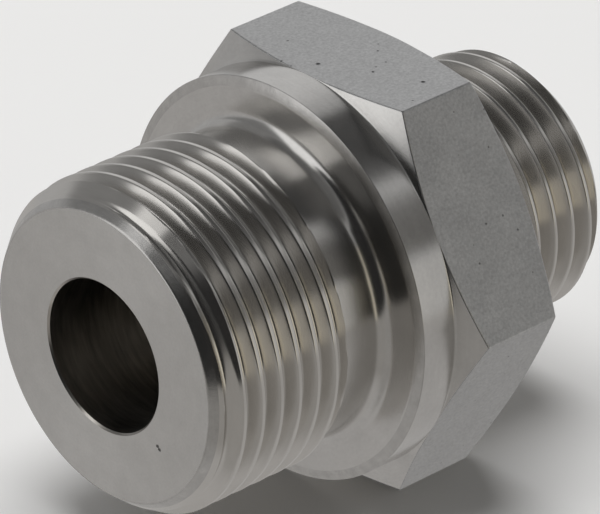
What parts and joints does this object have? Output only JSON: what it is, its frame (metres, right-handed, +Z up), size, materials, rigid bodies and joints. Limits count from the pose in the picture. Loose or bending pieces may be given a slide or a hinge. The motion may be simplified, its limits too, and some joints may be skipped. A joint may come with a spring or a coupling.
{
  "type": "straight male stud connector",
  "caption": "Steel pipe connector with a large threaded stud and sealing collar at one end, a hexagon, a smaller threaded stud at the other, and a bore right through.",
  "frame": {"origin": "on the axis, in the plane of the sealing edge on the collar of the large stud", "axes": "+X along the axis from the large stud to the small stud, +Z up, square to the hexagon flat that the part lies on, +Y through two corners of the hexagon"},
  "size_m": [0.0424, 0.037, 0.032],
  "materials": {
    "stainless_steel": "turned bright on the studs, collar and faces, drawn and matt on the hexagon flats"
  },
  "bodies": {
    "root": {"connector_body": "stainless_steel"}
  },
  "joints": []
}
